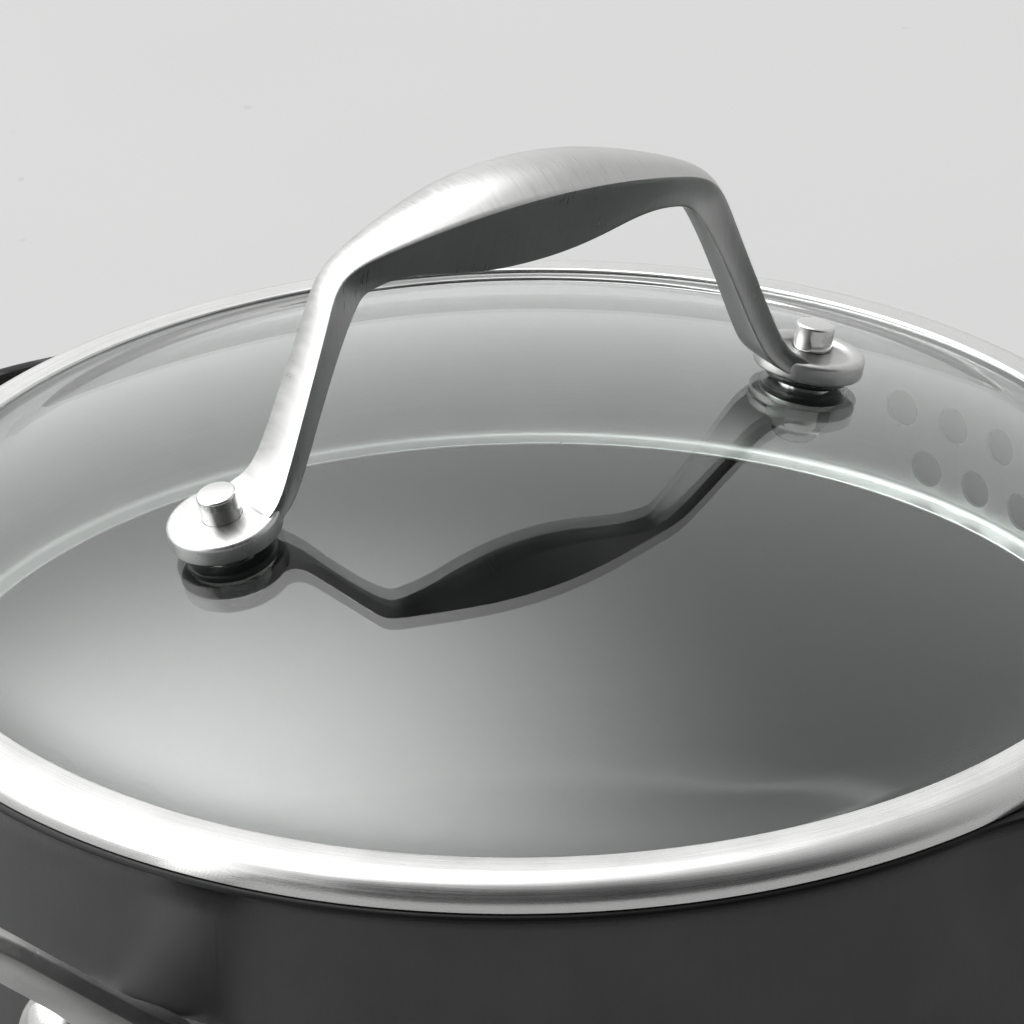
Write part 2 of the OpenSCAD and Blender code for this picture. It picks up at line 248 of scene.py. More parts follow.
def applied(obj):
    """The object's mesh with its modifiers applied, in place of the object."""
    bpy.context.view_layer.update()
    depsgraph = bpy.context.evaluated_depsgraph_get()
    mesh = bpy.data.meshes.new_from_object(obj.evaluated_get(depsgraph))
    bpy.data.objects.remove(obj)
    return mesh


def subdivided(mesh, levels):
    obj = temp_object(mesh)
    modifier = obj.modifiers.new("subdivide", "SUBSURF")
    modifier.levels = levels
    return applied(obj)


def combined(mesh, tools, operation):
    """The mesh joined with, or cut by, each tool mesh in turn."""
    for tool in tools:
        obj = temp_object(mesh)
        cutter = temp_object(tool)
        modifier = obj.modifiers.new("boolean", "BOOLEAN")
        modifier.object = cutter
        modifier.operation = operation
        modifier.solver = "EXACT"
        mesh = applied(obj)
        bpy.data.objects.remove(cutter)
    return mesh


def moved(mesh, place):
    mesh.transform(place)
    return mesh


def rod(name, radius, low, high, segments=48):
    """A plain round tool along Z, used only to cut with."""
    return lathe(name, [(0, low), (radius, low), (radius, high), (0, high)], segments, closed=False)


def foot_matrix(side):
    """Stands a piece square on the glass at one foot: z = 0 is the glass's top."""
    return (
        Matrix.Rotation(LID_TURN + side, 4, "Z")
        @ Matrix.Translation((0, 0, SPHERE_Z))
        @ Matrix.Rotation(FOOT_TILT, 4, "Y")
        @ Matrix.Translation((0, 0, SPHERE_R))
    )


FEET = {"front": foot_matrix(0), "back": foot_matrix(pi)}

# -------------------------------------------------------- material helpers


class Look:
    """A Principled material and short ways to add texture nodes to it."""

    def __init__(self, name, color, roughness, metallic=0.0, **sockets):
        self.material = bpy.data.materials.new(name)
        self.material.use_nodes = True
        self.tree = self.material.node_tree
        self.shader = self.tree.nodes["Principled BSDF"]
        self.set("Base Color", (*color, 1))
        self.set("Roughness", roughness)
        self.set("Metallic", metallic)
        for socket, value in sockets.items():
            self.set(socket.replace("_", " "), value)
        self.coords = self.node("ShaderNodeTexCoord").outputs["Object"]

    def set(self, socket, value):
        self.shader.inputs[socket].default_value = value

    def node(self, kind, **values):
        made = self.tree.nodes.new(kind)
        for key, value in values.items():
            setattr(made, key, value)
        return made

    def join(self, output, target):
        self.tree.links.new(output, target)

    def math(self, operation, a, b=0.0):
        made = self.node("ShaderNodeMath", operation=operation)
        for socket, value in zip(made.inputs, (a, b)):
            if isinstance(value, (int, float)):
                socket.default_value = value
            else:
                self.join(value, socket)
        return made.outputs[0]

    def stretched(self, scale):
        """Object coordinates, stretched by a scale along X, Y and Z."""
        made = self.node("ShaderNodeMapping")
        made.inputs["Scale"].default_value = scale
        self.join(self.coords, made.inputs["Vector"])
        return made.outputs["Vector"]

    def noise(self, vector, scale, detail=3, rough=0.5):
        made = self.node("ShaderNodeTexNoise")
        made.inputs["Scale"].default_value = scale
        made.inputs["Detail"].default_value = detail
        made.inputs["Roughness"].default_value = rough
        self.join(vector, made.inputs["Vector"])
        return made.outputs["Fac"]

    def turned_noise(self, fine, along=3.0, detail=3):
        """Noise drawn out around the Z axis, as a lathe or a brushing wheel leaves it."""
        split = self.node("ShaderNodeSeparateXYZ")
        self.join(self.coords, split.inputs[0])
        flat = self.node("ShaderNodeCombineXYZ")
        self.join(split.outputs["X"], flat.inputs["X"])
        self.join(split.outputs["Y"], flat.inputs["Y"])
        length = self.node("ShaderNodeVectorMath", operation="LENGTH")
        self.join(flat.outputs[0], length.inputs[0])
        unit = self.node("ShaderNodeVectorMath", operation="NORMALIZE")
        self.join(flat.outputs[0], unit.inputs[0])
        wide = self.node("ShaderNodeVectorMath", operation="SCALE")
        self.join(unit.outputs[0], wide.inputs[0])
        wide.inputs["Scale"].default_value = along
        parts = self.node("ShaderNodeSeparateXYZ")
        self.join(wide.outputs[0], parts.inputs[0])
        place = self.node("ShaderNodeCombineXYZ")
        self.join(parts.outputs["X"], place.inputs["X"])
        self.join(parts.outputs["Y"], place.inputs["Y"])
        self.join(self.math("MULTIPLY", split.outputs["Z"], fine), place.inputs["Z"])
        made = self.node("ShaderNodeTexNoise", noise_dimensions="4D")
        made.inputs["Scale"].default_value = 1
        made.inputs["Detail"].default_value = detail
        self.join(place.outputs[0], made.inputs["Vector"])
        self.join(self.math("MULTIPLY", length.outputs["Value"], fine), made.inputs["W"])
        return made.outputs["Fac"]

    def spread(self, value, low, high, start=0.3, end=0.7):
        """A value from start to end, mapped to low to high."""
        made = self.node("ShaderNodeMapRange")
        for name, number in (("From Min", start), ("From Max", end), ("To Min", low), ("To Max", high)):
            made.inputs[name].default_value = number
        self.join(value, made.inputs["Value"])
        return made.outputs["Result"]

    def tint(self, value, low, high, start=0.3, end=0.7):
        """A colour that goes from low to high with a value."""
        made = self.node("ShaderNodeMix", data_type="RGBA")
        self.join(self.spread(value, 0, 1, start, end), made.inputs["Factor"])
        made.inputs[6].default_value = (*low, 1)
        made.inputs[7].default_value = (*high, 1)
        return made.outputs[2]

    def bump(self, height, strength, distance, over=None):
        made = self.node("ShaderNodeBump")
        made.inputs["Strength"].default_value = strength
        made.inputs["Distance"].default_value = distance
        self.join(height, made.inputs["Height"])
        if over:
            self.join(over, made.inputs["Normal"])
        return made.outputs["Normal"]

    def use(self, **sockets):
        """Feeds node outputs to the shader's sockets."""
        for socket, output in sockets.items():
            self.join(output, self.shader.inputs[socket.replace("_", " ")])
        return self.material

    def worn(self, value):
        """A value that is a little brighter along the edges of the shape."""
        geometry = self.node("ShaderNodeNewGeometry")
        edge = self.spread(geometry.outputs["Pointiness"], 0, 1, 0.51, 0.58)
        return self.math("ADD", value, self.math("MULTIPLY", edge, 0.25))


# --------------------------------------------------------------- materials


def anodised_look():
    """Dark hard-anodised aluminium with fine upright grain. The top of the wall darkens towards the lip:
    partly the lip's darker coating, partly painted shade under the lid ring.
    """
    look = Look("hard_anodised", (0.06, 0.06, 0.062), 0.42, 0.8)
    grain = look.noise(look.stretched((1, 1, 0.03)), 2600, 4)
    mottle = look.noise(look.coords, 60, 4)
    # Painted shade: the wall's colour falls to a fifth over its top 3 mm. This stands partly for the lip's
    # darker coating and partly for the shade under the lid ring's overhang.
    lip = look.node("ShaderNodeSeparateXYZ")
    look.join(look.coords, lip.inputs[0])
    edge = look.spread(lip.outputs["Z"], 1, 0.22, LIP_Z - 3.2 * MM, LIP_Z - 0.6 * MM)
    shade = look.math("MULTIPLY", look.worn(look.spread(mottle, 0.9, 1.08)), edge)
    color = look.tint(shade, (0.003, 0.003, 0.003), (0.07, 0.07, 0.071), 0.1, 1.1)
    rough = look.math("ADD", look.spread(grain, 0.34, 0.46), look.spread(mottle, -0.03, 0.03))
    normal = look.bump(grain, 0.12, 0.02 * MM)
    return look.use(Base_Color=color, Roughness=rough, Normal=normal)


def lining_look():
    """The pan's dark non-stick inside, faintly marked round and round by stirring."""
    look = Look("dark_lining", (0.014, 0.014, 0.015), 0.42, 0.0)
    swirl = look.turned_noise(2600, 3)
    color = look.tint(swirl, (0.011, 0.011, 0.012), (0.02, 0.02, 0.021))
    rough = look.spread(swirl, 0.36, 0.5)
    return look.use(Base_Color=color, Roughness=rough, Normal=look.bump(swirl, 0.1, 0.02 * MM))


def steel_look(name, color, roughness, streak, fine=0.0, **sockets):
    """Satin steel. streak is a function that gives the noise of its brushing."""
    look = Look(name, color, roughness, 1.0, **sockets)
    lines = streak(look)
    cloud = look.noise(look.coords, 90, 3)
    low = tuple(c * 0.9 for c in color)
    high = tuple(min(c * 1.06, 1) for c in color)
    tone = look.worn(look.math("ADD", look.math("MULTIPLY", lines, 0.6), look.math("MULTIPLY", cloud, 0.4)))
    rough = look.math(
        "ADD",
        look.spread(lines, roughness - 0.05, roughness + 0.06),
        look.spread(cloud, -0.03, 0.03),
    )
    normal = look.bump(lines, 0.07, 0.006 * MM)
    if fine:
        normal = look.bump(look.noise(look.coords, fine, 4), 0.2, 0.03 * MM, normal)
    return look.use(Base_Color=look.tint(tone, low, high), Roughness=rough, Normal=normal)


def across(look):
    """Fine lines across the lid handle's own length."""
    turn = look.node("ShaderNodeMapping")
    turn.inputs["Rotation"].default_value = (0, 0, -LID_TURN)
    look.join(look.coords, turn.inputs["Vector"])
    drawn = look.node("ShaderNodeMapping")
    drawn.inputs["Scale"].default_value = (1, 0.06, 0.06)
    look.join(turn.outputs[0], drawn.inputs["Vector"])
    return look.noise(drawn.outputs[0], 3000, 3)


def along_x(look):
    return look.noise(look.stretched((0.08, 1, 1)), 2200, 3)


def turned(look):
    return look.turned_noise(9000, 5, 2)


def glass_look():
    """Clear tempered glass with a faint grey-green tint, a few specks of dust and light wiping."""
    look = Look("tempered_glass", (0.93, 0.975, 0.955), 0.0, 0.0, IOR=1.5, Transmission_Weight=1.0)
    wipe = look.noise(look.stretched((1, 0.25, 1)), 45, 4)
    dust = look.noise(look.coords, 700, 1)
    rough = look.math("ADD", look.spread(wipe, 0, 0.012), look.spread(dust, 0, 0.12, 0.76, 0.82))
    color = look.tint(wipe, (0.925, 0.972, 0.95), (0.94, 0.978, 0.96))
    return look.use(Base_Color=color, Roughness=rough)


def silicone_look():
    """Black silicone rubber, faintly powdery."""
    look = Look("seal_silicone", (0.022, 0.022, 0.022), 0.5)
    fleck = look.noise(look.coords, 700, 3)
    color = look.tint(fleck, (0.014, 0.014, 0.014), (0.03, 0.03, 0.03))
    rough = look.spread(fleck, 0.4, 0.55)
    return look.use(Base_Color=color, Roughness=rough, Normal=look.bump(fleck, 0.1, 0.02 * MM))


def gloss_washer_look():
    """Dark translucent washer with a moulded gloss."""
    look = Look("gloss_washer", (0.02, 0.021, 0.021), 0.03, IOR=1.45, Coat_Weight=0.6, Coat_Roughness=0.03)
    fleck = look.noise(look.coords, 1200, 2)
    color = look.tint(fleck, (0.012, 0.013, 0.013), (0.026, 0.028, 0.028))
    rough = look.spread(fleck, 0.04, 0.1)
    return look.use(Base_Color=color, Roughness=rough, Normal=look.bump(fleck, 0.05, 0.01 * MM))


def floor_look():
    """A pale floor with faint clouding and a few specks."""
    look = Look("pale_floor", (0.33, 0.33, 0.33), 0.6)
    cloud = look.noise(look.coords, 5, 3)
    speck = look.noise(look.coords, 160, 1)
    tone = look.math("SUBTRACT", look.spread(cloud, 0.96, 1.0), look.spread(speck, 0, 0.1, 0.79, 0.83))
    color = look.tint(tone, (0, 0, 0), (0.33, 0.33, 0.329), 0, 1)
    return look.use(Base_Color=color, Roughness=look.spread(cloud, 0.5, 0.65))


LOOKS = {
    "anodised": anodised_look(),
    "cast_steel": steel_look("cast_handle_steel", (0.46, 0.46, 0.455), 0.34, along_x, 900),
    "rivet": steel_look("rivet_steel", (0.68, 0.68, 0.67), 0.22, turned),
    "glass": glass_look(),
    "silicone": silicone_look(),
    "ring_steel": steel_look("ring_satin_steel", (0.58, 0.58, 0.576), 0.27, turned, Anisotropic=0.4),
    "skirt_steel": steel_look("skirt_brushed_steel", (0.78, 0.785, 0.78), 0.5, turned, Anisotropic=0.6),
    "handle_steel": steel_look("lid_handle_steel", (0.45, 0.45, 0.447), 0.33, across, 1500),
    "stud_steel": steel_look("stud_polished_steel", (0.56, 0.56, 0.555), 0.14, turned),
    "clear_washer": gloss_washer_look(),
    "washer_steel": steel_look("washer_steel", (0.62, 0.62, 0.61), 0.28, turned),
    "nut_steel": steel_look("nut_steel", (0.66, 0.66, 0.65), 0.2, turned),
}

# --------------------------------------------------------------------- pan


def soft_max(a, b, blend):
    """The larger of two lengths, rounded where they are nearly equal."""
    near = max(blend - abs(a - b), 0) / blend
    return max(a, b) + near * near * blend / 4


def spout_reach(radius, z, angle):
    """How far the leaning spout cylinder reaches from the axis at a height and an angle."""
    half_y = radius / cos(SPOUT_LEAN)
    middle = SPOUT_TIP - SPOUT_R / cos(SPOUT_LEAN) - (LIP_Z - z) * tan(SPOUT_LEAN)
    across_y, along_y = cos(angle), abs(sin(angle))
    a = (across_y / radius) ** 2 + (along_y / half_y) ** 2
    b = -2 * middle * along_y / half_y**2
    c = (middle / half_y) ** 2 - 1
    inside = b * b - 4 * a * c
    return (-b + sqrt(inside)) / (2 * a) if inside > 0 else 0


def pan_outline():
    """Inside centre, up the bore, over the flared lip, down the wall, base centre, with a share:
    0 for points of the bore and 1 for points of the outside."""
    flare_r = (FLARE_H**2 + LIP_FLARE**2) / (2 * LIP_FLARE)
    floor_r = CORNER_R - (WALL_R - BORE_R)
    points = [(0, BASE_T, 0)]
    for k in range(1, 9):
        points.append(((BORE_R - floor_r) * k / 9, BASE_T, 0))
    for k in range(11):
        a = radians(-90 + 9 * k)
        points.append((BORE_R - floor_r + floor_r * cos(a), BASE_T + floor_r + floor_r * sin(a), 0))
    low, top = BASE_T + floor_r, LIP_Z - FLARE_H
    points += [(BORE_R, low + (top - low) * k / 24, 0) for k in range(1, 25)]
    flare_turn = asin(FLARE_H / flare_r)
    lip_round = 0.9 * MM
    steps = 10
    for k in range(1, steps):
        a = flare_turn * k / steps
        points.append((BORE_R + flare_r * (1 - cos(a)), top + flare_r * sin(a), 0))
    inner, outer = BORE_R + LIP_FLARE, WALL_R + LIP_FLARE
    for k in range(7):
        a = radians(180 - 15 * k)
        points.append((inner + lip_round + lip_round * cos(a), LIP_Z - lip_round + lip_round * sin(a), 0.2))
    for k in range(7):
        a = radians(90 - 15 * k)
        points.append((outer - lip_round + lip_round * cos(a), LIP_Z - lip_round + lip_round * sin(a), 0.8))
    for k in range(steps - 2, 0, -1):
        a = flare_turn * k / steps
        points.append((WALL_R + flare_r * (1 - cos(a)), top + flare_r * sin(a), 1))
    points += [(WALL_R, CORNER_R + (top - CORNER_R) * k / 26, 1) for k in range(26, 0, -1)]
    for k in range(13):
        a = radians(-7.5 * k)
        points.append((WALL_R - CORNER_R + CORNER_R * cos(a), CORNER_R + CORNER_R * sin(a), 1))
    # A shallow machined step marks the base's contact face
    step = 0.35 * MM
    points += [(72 * MM, 0, 1), (70.5 * MM, step, 1), (40 * MM, step, 1), (0, step, 1)]
    return points


def pan_shell():
    points = pan_outline()

    def shape(i, r, z, angle):
        share = points[i][2]
        if z < CORNER_R + BASE_T:
            return r
        wall = WALL_R - BORE_R
        outside = soft_max(r, spout_reach(SPOUT_R, z, angle), SPOUT_BLEND)
        inside = soft_max(r, spout_reach(SPOUT_R - wall, z, angle), SPOUT_BLEND)
        return inside + (outside - inside) * share

    mesh = lathe("pan_shell", [p[:2] for p in points], 360, shape, closed=False)
    shell = piece("pan_shell", mesh, "pan", ["pan_body"], LOOKS["anodised"], 50)
    mesh.materials.append(lining_look())
    for face in mesh.polygons:
        middle = face.center
        inwards = middle.x * face.normal.x + middle.y * face.normal.y < -0.02 * middle.length
        on_floor = face.normal.z > 0.5 and middle.z < CORNER_R + BASE_T
        face.material_index = 1 if on_floor or (inwards and middle.z < LIP_Z - 1.2 * MM) else 0
    return shell


# ------------------------------------------------------------- long handle

FLANGE_Z = FLANGE_LOW + FLANGE_H / 2
NECK_Z = FLANGE_Z + NECK_RISE
BEND_X = WALL_R + NECK_RUN * cos(NECK_SLOPE)
BEND_Z = NECK_Z + NECK_RUN * sin(NECK_SLOPE)
LEVEL_X = BEND_X + BEND_R * sin(NECK_SLOPE)
LEVEL_Z = BEND_Z + BEND_R * (1 - cos(NECK_SLOPE))
TIP_C = TIP_X - TIP_W / 2


def handle_ring(centre, slope, width, thickness):
    """One section of the strap: crowned top, ridge lines, raked sides and a flat back."""
    up = Vector((-sin(slope), 0, cos(slope)))
    side = Vector((0, 1, 0))
    half = width / 2
    shape = [(0, 0.5), (0.55, 0.44), (0.9, 0.2), (1, -0.18), (0.86, -0.46),
             (0, -0.5), (-0.86, -0.46), (-1, -0.18), (-0.9, 0.2), (-0.55, 0.44)]
    return [centre + side * (half * u) + up * (thickness * v) for u, v in shape]


def handle_rings():
    rings = []
    neck = Vector((cos(NECK_SLOPE), 0, sin(NECK_SLOPE)))
    root = Vector((WALL_R, 0, NECK_Z))
    # The neck grows out of the flange, narrows, and widens again towards the grip
    for run, width, thick in ((1.6, 25, 9.4), (5, 22, 8.2), (10, 19.4, 7), (18, 18, 6.2),
                              (34, 18, 6), (50, 18.8, 6)):
        rings.append(handle_ring(root + neck * run * MM, NECK_SLOPE, width * MM, thick * MM))
    bend_steps = 6
    for k in range(bend_steps + 1):
        a = NECK_SLOPE * (1 - k / bend_steps)
        centre = Vector((LEVEL_X - BEND_R * sin(a), 0, LEVEL_Z - BEND_R + BEND_R * cos(a)))
        width = 19.6 * MM + (GRIP_W - 20.6 * MM) * k / bend_steps
        rings.append(handle_ring(centre, a, width, HANDLE_T))
    for share, width in ((0.2, 27.6), (0.4, 27.8), (0.6, 26.4), (0.8, 23.6)):
        x = LEVEL_X + (TIP_C - LEVEL_X) * share
        rings.append(handle_ring(Vector((x, 0, LEVEL_Z)), 0, width * MM, HANDLE_T))
    # The round tip
    for angle in (0, 25, 45, 62, 76, 86):
        a = radians(angle)
        x = TIP_C + (TIP_W / 2) * sin(a) * 0.995
        thick = HANDLE_T * (0.5 + 0.5 * cos(a))
        rings.append(handle_ring(Vector((x, 0, LEVEL_Z)), 0, TIP_W * cos(a), thick))
    return rings


def cast_handle():
    strap = subdivided(sweep("strap", handle_rings(), creased=(2, 3, 7, 8), crease=0.75), 3)
    hole = moved(rod("hang_hole", HANG_R, -20 * MM, 20 * MM, 64), Matrix.Translation((TIP_C, 0, LEVEL_Z)))
    strap = combined(strap, [hole], "DIFFERENCE")
    strap = combined(strap, [flange_solid()], "UNION")
    bore = rod("wall_bore", WALL_R + CLEAR, -10 * MM, 200 * MM, 360)
    strap = combined(strap, [bore], "DIFFERENCE")
    return piece("cast_handle", strap, "pan", ["long_handle"], LOOKS["cast_steel"], 32)


def flange_solid():
    """The plate as a grid bent to the wall: columns of points between its lower and upper edge."""
    bm = bmesh.new()
    boxes = [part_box(n) for n in ("handle_rivet_left", "handle_rivet_right")]
    reach = max(box[1].y for box in boxes) + FLANGE_EDGE
    end_r = FLANGE_H / 2
    straight = reach - end_r
    edge = 1.4 * MM
    columns, lines = 72, 22

    def height(y):
        past = max(abs(y) - straight, 0)
        return sqrt(max(end_r**2 - past**2, 0))

    front, back = [], []
    for i in range(columns + 1):
        y = reach * 0.9995 * sin(radians(-90 + 180 * i / columns))
        half = max(height(y), 0.2 * MM)
        for row, full in ((front, True), (back, False)):
            column = []
            for j in range(lines + 1):
                v = sin(radians(-90 + 180 * j / lines))
                past = hypot(max(abs(y) - straight, 0), half * v)
                inset = min(end_r - past, end_r - abs(half * v))
                drop = max(edge - inset, 0)
                lift = FLANGE_T - (edge - sqrt(max(edge**2 - drop**2, 0))) if full else CLEAR
                radius = WALL_R + lift
                column.append(bm.verts.new((sqrt(radius**2 - y * y), y, FLANGE_Z + half * v)))
            row.append(column)
    for grid in (front, back):
        for one, other in zip(grid, grid[1:]):
            for j in range(lines):
                bm.faces.new((one[j], one[j + 1], other[j + 1], other[j]))
    for j in range(lines):
        for column in (0, -1):
            bm.faces.new((front[column][j], front[column][j + 1], back[column][j + 1], back[column][j]))
    for i in range(columns):
        for j in (0, -1):
            bm.faces.new((front[i][j], front[i + 1][j], back[i + 1][j], back[i][j]))
    return finish_mesh(bm, "flange")


def rivet(node):
    """A shank with a domed head on each side of the wall, from its CAD box."""
    low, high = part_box(node)
    middle = (low + high) / 2
    angle = atan2(middle.y, middle.x)
    head_r = (high.z - low.z) / 2
    back = sqrt(BORE_R**2 - head_r**2) - 0.02 * MM
    face = WALL_R + FLANGE_T + 0.02 * MM
    arc_r = (head_r**2 + RIVET_HEAD_H**2) / (2 * RIVET_HEAD_H)

    def dome(side, start):
        steps = 10
        turn = asin(head_r / arc_r)
        sunk = arc_r - RIVET_HEAD_H
        return [(arc_r * sin(turn * k / steps), start + side * (arc_r * cos(turn * k / steps) - sunk))
                for k in range(steps + 1)]

    outline = dome(-1, back) + [(head_r - CLEAR, back), (RIVET_R, back), (RIVET_R, face),
                                (head_r - CLEAR, face)] + dome(1, face)[::-1]
    mesh = lathe(node + "_domed", outline, 64, closed=False)
    outwards = Matrix.Rotation(angle, 4, "Z") @ Matrix.Rotation(pi / 2, 4, "Y")
    place = Matrix.Translation((0, 0, middle.z)) @ outwards
    obj = piece(node + "_domed", mesh, "pan", [node], LOOKS["rivet"])
    obj.matrix_world = frame["bodies"]["pan"].matrix_world @ place
    return obj


# --------------------------------------------------------------------- lid


def dome_glass():
    """Tempered glass: a sphere's cap that turns softly into a flat rim, drilled for the studs."""
    under_r = SPHERE_R - GLASS_T
    blend = 3 * MM
    steps = 60
    top, under = [], []
    for k in range(steps + 1):
        r = (GLASS_R - 1.2 * MM) * k / steps
        for line, radius, rim in ((top, SPHERE_R, RIM_TOP), (under, under_r, RIM_Z)):
            cap = SPHERE_Z + sqrt(radius**2 - r * r)
            line.append((r, soft_max(cap, rim, blend)))
    # A ground round edge closes the rim
    edge_r = GLASS_T / 2
    edge = []
    for k in range(1, 12):
        a = radians(90 - 15 * k)
        edge.append((GLASS_R - edge_r + edge_r * cos(a), RIM_Z + edge_r + edge_r * sin(a)))
    outline = top[:-1] + edge + under[:-1][::-1]
    mesh = lathe("dome_glass", outline, 288, closed=False)
    holes = [moved(rod("glass_hole", 4.5 * MM, -8 * MM, 6 * MM, 64), place) for place in FEET.values()]
    mesh = combined(mesh, holes, "DIFFERENCE")
    return piece("dome_glass", mesh, "lid", ["glass_dome"], LOOKS["glass"], 40)


def ring_band():
    """The folded steel channel: an edge on the glass, a round shoulder and a turned-under foot."""
    flat = LIP_Z + SHEET_T
    inner_shoulder = SHOULDER_R - SHEET_T
    corners = [
        (RING_IN, RIDGE_Z - SHEET_T, 0.1 * MM), (RING_IN, RIDGE_Z, 0.5 * MM),
        (RING_R, RIDGE_Z - RING_FALL, SHOULDER_R), (RING_R, LIP_Z, 0.3 * MM),
        (SKIRT_R + CLEAR, LIP_Z, 0.1 * MM), (SKIRT_R + CLEAR, flat, 0),
        (RING_R - SHEET_T, flat, 0.1 * MM),
        (RING_R - SHEET_T, RIDGE_Z - RING_FALL - SHEET_T, inner_shoulder)]
    mesh = lathe("ring_band", rounded(corners, 14), 360)
    return piece("ring_band", mesh, "lid", ["lid_ring"], LOOKS["ring_steel"], 40)


def skirt_band():
    """The perforated band with its flange in the ring and a hem turned inwards."""
    flange_z, seal_z = LIP_Z + SHEET_T, LIP_Z + 2 * SHEET_T
    inner, fold = SKIRT_R - SHEET_T, 1.2 * MM
    flange_r = RING_R - SHEET_T - 0.2 * MM
    corners = [
        (SKIRT_R, SKIRT_LOW, fold), (SKIRT_R, flange_z + CLEAR, 0.2 * MM),
        (flange_r, flange_z + CLEAR, 0), (flange_r, seal_z - CLEAR, 0),
        (inner, seal_z - CLEAR, 0.5 * MM), (inner, SKIRT_LOW + SHEET_T, 1.2 * MM),
        (SKIRT_R - HEM_W, SKIRT_LOW + SHEET_T, 0.25 * MM), (SKIRT_R - HEM_W, SKIRT_LOW, 0.25 * MM)]
    mesh = lathe("skirt_band", rounded(corners, 5), 360)
    drills = []
    upper_z = RIDGE_Z - UPPER_ROW
    for side in (0, pi):
        for row, count in ((upper_z, UPPER_HOLES), (upper_z - ROW_GAP, UPPER_HOLES - 1)):
            for k in range(count):
                angle = LID_TURN + side + (k - (count - 1) / 2) * HOLE_PITCH
                place = (Matrix.Rotation(angle, 4, "Z") @ Matrix.Translation((SKIRT_R, 0, row))
                         @ Matrix.Rotation(pi / 2, 4, "Y"))
                drills.append(moved(rod("drill", HOLE_R, -2 * MM, 2 * MM, 40), place))
    mesh = combined(mesh, [joined(drills)], "DIFFERENCE")
    return piece("skirt_band", mesh, "lid", ["strainer_skirt"], LOOKS["skirt_steel"], 40)


def joined(meshes):
    bm = bmesh.new()
    for mesh in meshes:
        bm.from_mesh(mesh)
    return finish_mesh(bm, "joined")


# Half of the lid handle, from the grip's middle to a foot. Each station gives the crown's place
# out from the lid's axis and down from the grip's top, the way into the metal as degrees from
# straight down, the ridge line's depth and half width, and the whole depth with its half width.
GRIP_STATIONS = [
    (0, 0, 0, 3.1, 8.2, 16.7, 3.0), (7, 0.45, 1, 2.95, 7.95, 16.0, 2.9),
    (14, 1.8, 3, 2.6, 7.1, 13.5, 2.7), (20.5, 3.8, 7, 2.1, 5.8, 9.9, 2.5),
    (26, 5.9, 13, 1.6, 4.5, 7.7, 2.4), (30, 7.8, 24, 1.1, 3.5, 6.8, 2.4),
    (33, 9.9, 45, 0.8, 3.15, 6.5, 2.25), (34.9, 12.8, 64, 0.7, 3.25, 6.2, 2.35),
    (36, 16.1, 71, 0.6, 3.5, 5.4, 2.6), (38, 22, 70, 0.5, 3.75, 4.6, 2.85),
    (41.4, 31.5, 69.5, 0.45, 4.2, 4.2, 3.3), (44.1, 38.8, 66, 0.4, 4.6, 4.2, 3.7),
    (45.8, 41.8, 50, 0.35, 5.4, 4.0, 4.5), (47.5, 43.25, 26, 0.2, 6.4, 3.6, 5.5),
    (49.5, 44.8, 12.4, 0.1, 6.6, 2.6, 5.7)]


def station_ring(station, side):
    out, fall, way, crown, ridge_w, depth, under_w = station
    top = Vector((side * out * MM, 0, GRIP_TOP - fall * MM))
    into = Vector((-side * sin(radians(way)), 0, -cos(radians(way))))
    wide = Vector((0, 1, 0))
    middle_w = 0.455 * (ridge_w + under_w)
    shape = [(0, 0), (0.56 * ridge_w, 0.24 * crown), (ridge_w, crown), (middle_w, 0.5 * (crown + depth)),
             (under_w, 0.95 * depth), (0, depth), (-under_w, 0.95 * depth),
             (-middle_w, 0.5 * (crown + depth)), (-ridge_w, crown), (-0.56 * ridge_w, 0.24 * crown)]
    return [top + wide * (u * MM) + into * (v * MM) for u, v in shape]


def arched_handle():
    rings = [station_ring(s, -1) for s in GRIP_STATIONS[:0:-1]]
    rings += [station_ring(s, 1) for s in GRIP_STATIONS]
    arch = subdivided(sweep("arch", rings, creased=(2, 4, 6, 8), crease=0.85), 3)
    arch.transform(Matrix.Rotation(LID_TURN, 4, "Z"))
    trim = WASHER_T + 0.6 * MM
    under = [moved(rod("under_leg", 12 * MM, -6 * MM, trim, 64), place) for place in FEET.values()]
    arch = combined(arch, under, "DIFFERENCE")
    pads = []
    for place in FEET.values():
        low, high = WASHER_T, WASHER_T + PAD_T
        corners = [(0, low, 0), (PAD_R, low, 0.5 * MM), (PAD_R, high, 0.8 * MM), (0, high, 0)]
        outline = rounded(corners, 6)
        pads.append(moved(lathe("pad", outline, 96, closed=False), place))
    arch = combined(arch, pads, "UNION")
    hole_r = STUD_R + CLEAR
    holes = [moved(rod("stud_hole", hole_r, -1 * MM, 12 * MM, 64), place) for place in FEET.values()]
    arch = combined(arch, holes, "DIFFERENCE")
    return piece("arched_handle", arch, "lid", ["lid_handle"], LOOKS["handle_steel"], 30)


# ------------------------------------------------------ handle fasteners

WASHER_R = 6.6 * MM
UNDER_R = 7 * MM
UNDER_T = 1.2 * MM
BACKING_R = 6.5 * MM
BACKING_T = 0.98 * MM
UNDER_TOP = -GLASS_T - 0.12 * MM
BACKING_TOP = UNDER_TOP - UNDER_T - 0.02 * MM
NUT_TOP = BACKING_TOP - BACKING_T - 0.02 * MM
STUD_LOW = NUT_TOP - 4.5 * MM
HEX_H = 3.575 * MM
NUT_R = 5 * MM
NUT_LOW = NUT_TOP - 6.46 * MM


def foot_piece(name, where, mesh, slot_name, nodes, sharp=35):
    obj = piece(name, mesh, "lid", nodes, LOOKS[slot_name], sharp)
    obj.matrix_world = frame["bodies"]["lid"].matrix_world @ FEET[where]
    return obj


def band(name, inner, outer, low, high, edge):
    corners = [(inner, low, edge / 2), (outer, low, edge), (outer, high, edge), (inner, high, edge / 2)]
    return lathe(name, rounded(corners, 5), 72)


